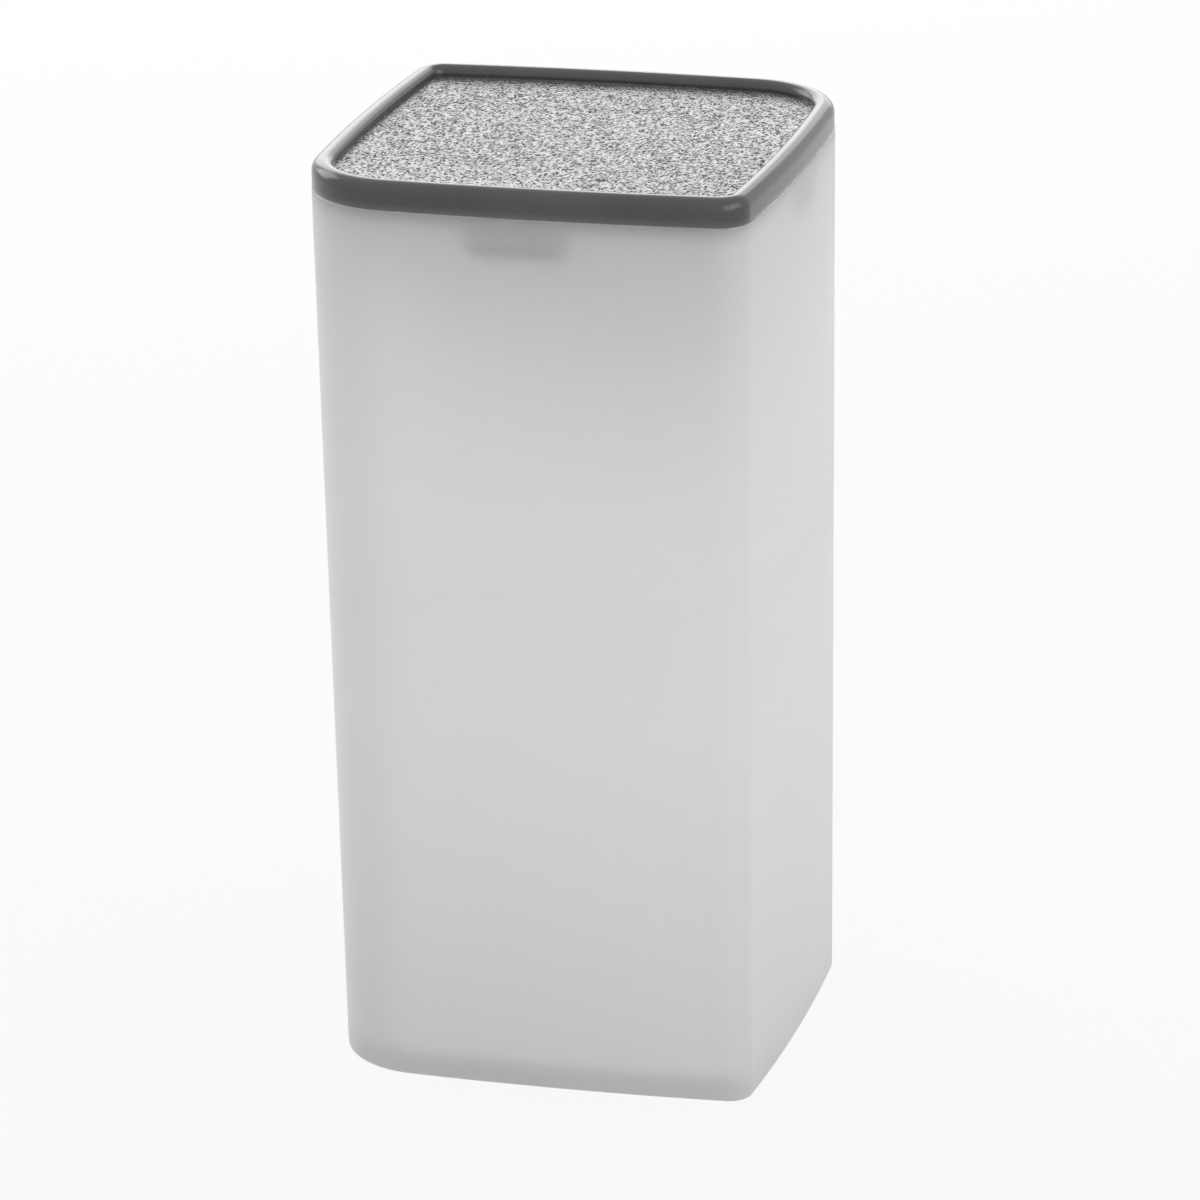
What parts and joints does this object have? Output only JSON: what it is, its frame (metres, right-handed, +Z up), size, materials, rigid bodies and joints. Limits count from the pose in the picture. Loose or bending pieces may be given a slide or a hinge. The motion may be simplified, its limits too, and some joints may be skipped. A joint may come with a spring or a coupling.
{
  "type": "coin tube",
  "caption": "Square milky plastic tube with unequal rounded corners and an opaque snap-in lid, for a stack of large coins.",
  "frame": {"origin": "centre of the foot, on the surface that the tube stands on", "axes": "+Z up along the tube towards the lid, -Y towards the front, +X to the right"},
  "size_m": [0.043, 0.043, 0.0865],
  "materials": {
    "milky_plastic": "milky translucent injection moulding with a fine satin surface, light glows through the wall",
    "grey_plastic": "opaque grey, smooth satin rim and band, fine leather-like stipple on the recessed panel"
  },
  "bodies": {
    "tube": {"tube_body": "milky_plastic"},
    "lid": {"lid": "grey_plastic"}
  },
  "joints": [
    {"name": "lid_lift", "type": "slide", "parent": "tube", "child": "lid", "axis": [0, 0, 1], "range_m": [0, 0.05]}
  ]
}
